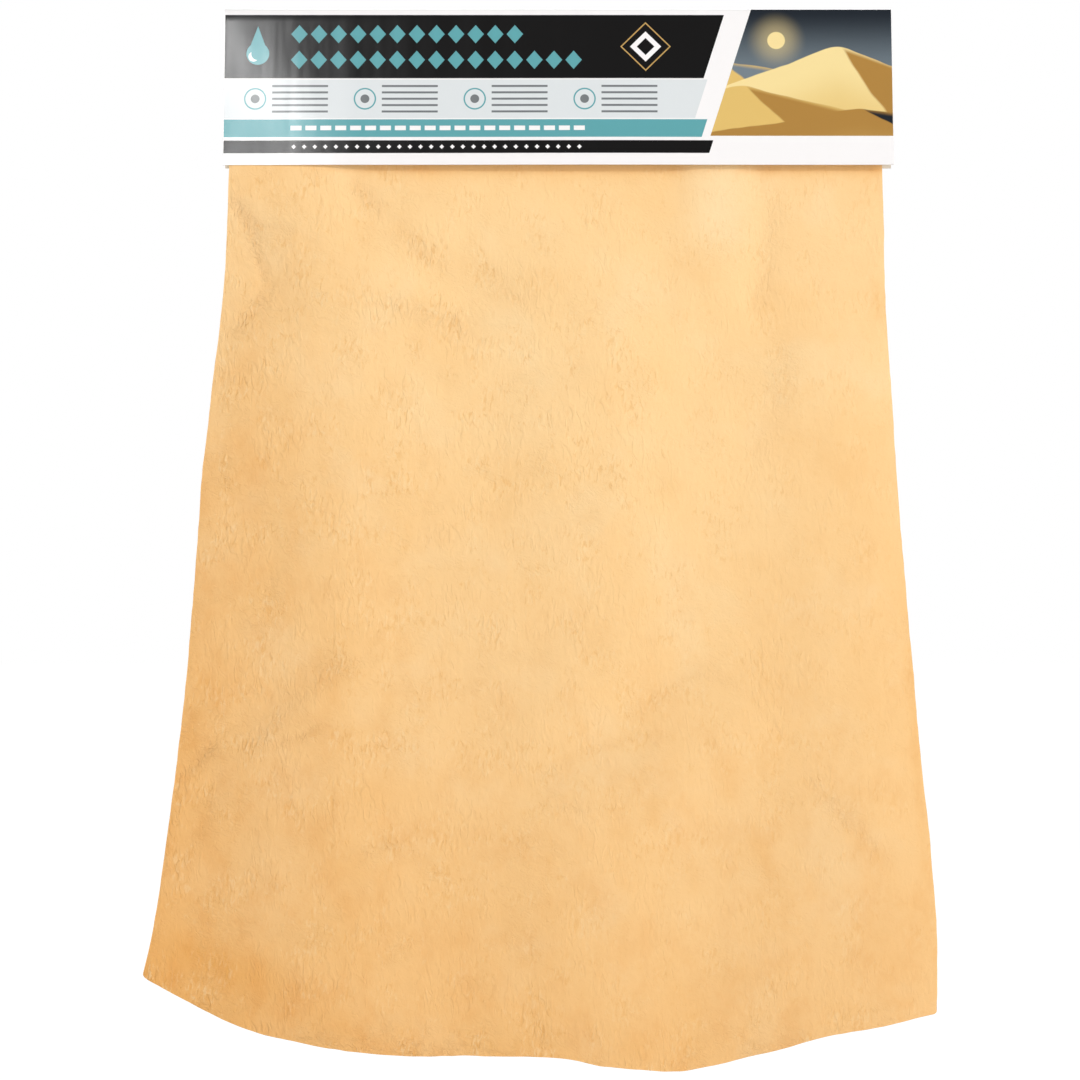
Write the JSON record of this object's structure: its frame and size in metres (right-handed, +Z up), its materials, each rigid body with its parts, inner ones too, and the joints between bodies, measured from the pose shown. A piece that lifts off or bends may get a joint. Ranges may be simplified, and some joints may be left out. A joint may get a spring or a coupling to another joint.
{
  "type": "chamois leather",
  "caption": "Natural chamois drying leather with an uneven hide outline, stapled inside a folded header card whose printed front flap lifts.",
  "frame": {"origin": "middle of the header card's back face", "axes": "+Z up along the hanging skin, +Y out of the card's back face, -Y towards the viewer of the printed front"},
  "size_m": [0.3774, 0.0115, 0.5045],
  "materials": {
    "card_board": "white folding boxboard, uncoated inside",
    "card_print": "printed in bands and laminated to a soft gloss",
    "chamois": "napped oil-tanned suede, warm yellow tan, softly mottled",
    "staple_wire": "galvanised flat wire"
  },
  "bodies": {
    "header": {"header_back_panel": "card_board", "header_fold": "card_board", "chamois_top_margin": "chamois", "staple_1": "staple_wire", "staple_2": "staple_wire", "staple_3": "staple_wire", "staple_4": "staple_wire"},
    "front_flap": {"header_front_panel": "card_print"},
    "free_skin": {"chamois_skin": "chamois"}
  },
  "joints": [
    {"name": "flap", "type": "hinge", "parent": "header", "child": "front_flap", "pos_m": [0, -0.0012, 0.03655], "axis": [-1, 0, 0], "range_deg": [0, 165], "deforming": ["header_fold"]},
    {"name": "skin_swing", "type": "hinge", "parent": "header", "child": "free_skin", "pos_m": [0, -0.0064, -0.03975], "axis": [-1, 0, 0], "range_deg": [-80, 80]}
  ]
}
